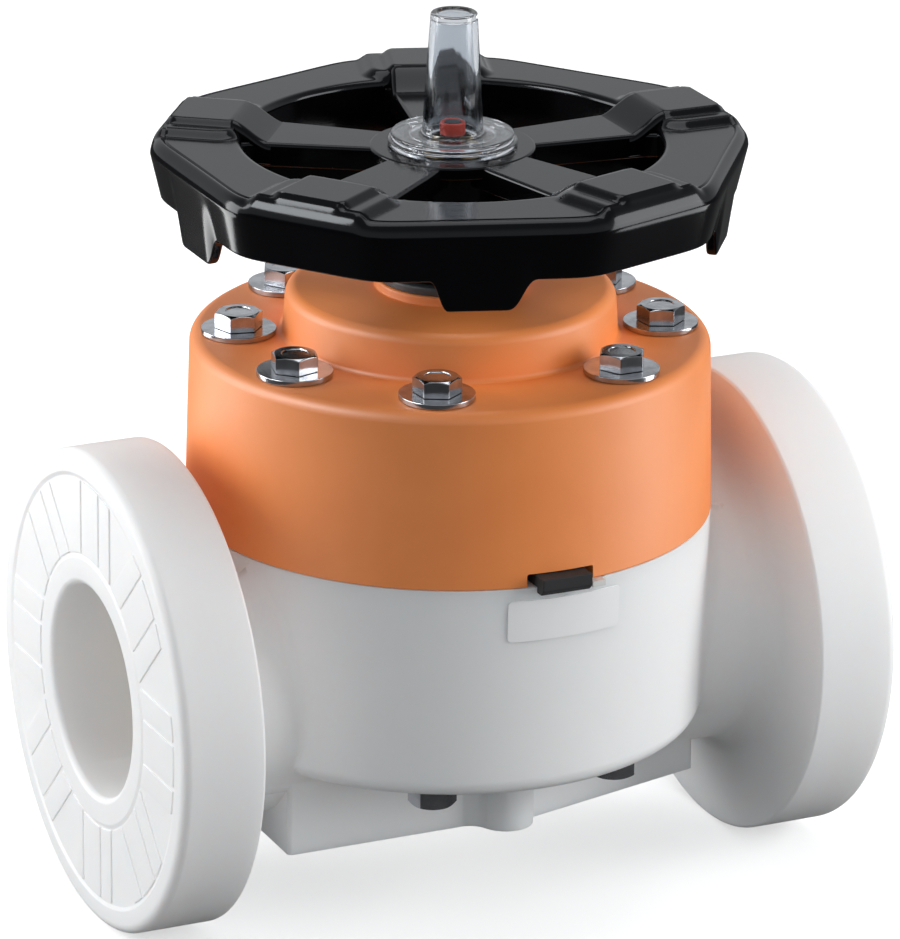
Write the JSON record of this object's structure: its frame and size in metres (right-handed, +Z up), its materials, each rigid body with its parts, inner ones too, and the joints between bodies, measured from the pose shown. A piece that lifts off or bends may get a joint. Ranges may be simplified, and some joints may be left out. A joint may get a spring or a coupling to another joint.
{
  "type": "diaphragm valve",
  "caption": "Weir-type flanged diaphragm valve with a plastic body, bolted bonnet, non-rising spoked handwheel and clear position indicator.",
  "frame": {"origin": "where the pipe axis meets the spindle axis, midway between the flange faces", "axes": "+X along the pipe to the far flange, +Z up the spindle to the handwheel, the notch in the bonnet faces -Y"},
  "size_m": [0.35, 0.2688, 0.4065],
  "materials": {
    "white_plastic": "satin moulded",
    "orange_plastic": "fine-grained moulded",
    "black_plastic": "glossy moulded",
    "grey_plastic": "satin moulded",
    "red_plastic": "satin moulded",
    "clear_plastic": "clear moulded",
    "black_rubber": "moulded",
    "white_facing": "smooth",
    "bolt_steel": "bright",
    "spindle_steel": "turned",
    "brass": "turned"
  },
  "bodies": {
    "housing": {"body": "white_plastic", "foot_insert_front": "brass", "foot_insert_rear": "brass", "facing_rim": "white_facing", "cushion_rim": "black_rubber", "bonnet": "orange_plastic", "bolt_axis_near_front": "bolt_steel", "bolt_axis_near_rear": "bolt_steel", "bolt_axis_far_front": "bolt_steel", "bolt_axis_far_rear": "bolt_steel", "bolt_side_near_front": "bolt_steel", "bolt_side_near_rear": "bolt_steel", "bolt_side_far_front": "bolt_steel", "bolt_side_far_rear": "bolt_steel", "washer_axis_near_front": "bolt_steel", "washer_axis_near_rear": "bolt_steel", "washer_axis_far_front": "bolt_steel", "washer_axis_far_rear": "bolt_steel", "washer_side_near_front": "bolt_steel", "washer_side_near_rear": "bolt_steel", "washer_side_far_front": "bolt_steel", "washer_side_far_rear": "bolt_steel", "bolt_insert_axis_near_front": "brass", "bolt_insert_axis_near_rear": "brass", "bolt_insert_axis_far_front": "brass", "bolt_insert_axis_far_rear": "brass", "nut_side_near_front": "bolt_steel", "nut_side_near_rear": "bolt_steel", "nut_side_far_front": "bolt_steel", "nut_side_far_rear": "bolt_steel", "nut_washer_side_near_front": "bolt_steel", "nut_washer_side_near_rear": "bolt_steel", "nut_washer_side_far_front": "bolt_steel", "nut_washer_side_far_rear": "bolt_steel", "thrust_washer_lower": "grey_plastic", "thrust_washer_upper": "grey_plastic", "bearing_collar": "grey_plastic", "bush_seal": "black_rubber"},
    "wheel": {"handwheel": "black_plastic", "threaded_bush": "brass", "wheel_key": "spindle_steel", "wheel_nut": "spindle_steel", "indicator_cap": "clear_plastic"},
    "stem": {"spindle": "spindle_steel", "spindle_pin": "spindle_steel", "compressor": "grey_plastic", "diaphragm_stud": "spindle_steel", "facing_membrane": "white_facing", "cushion_membrane": "black_rubber", "indicator_rod": "grey_plastic", "indicator_ring": "red_plastic"}
  },
  "joints": [
    {"name": "handwheel_turn", "type": "hinge", "parent": "housing", "child": "wheel", "pos_m": [0, 0, 0.2], "axis": [0, 0, 1], "range_deg": [0, 2880]},
    {"name": "spindle_lift", "type": "slide", "parent": "housing", "child": "stem", "axis": [0, 0, 1], "range_m": [0, 0.04], "deforming": ["facing_membrane", "cushion_membrane"]}
  ],
  "couplings": [
    {"joint": "spindle_lift", "follows": "handwheel_turn", "m_per_rad": 0.00079577}
  ]
}
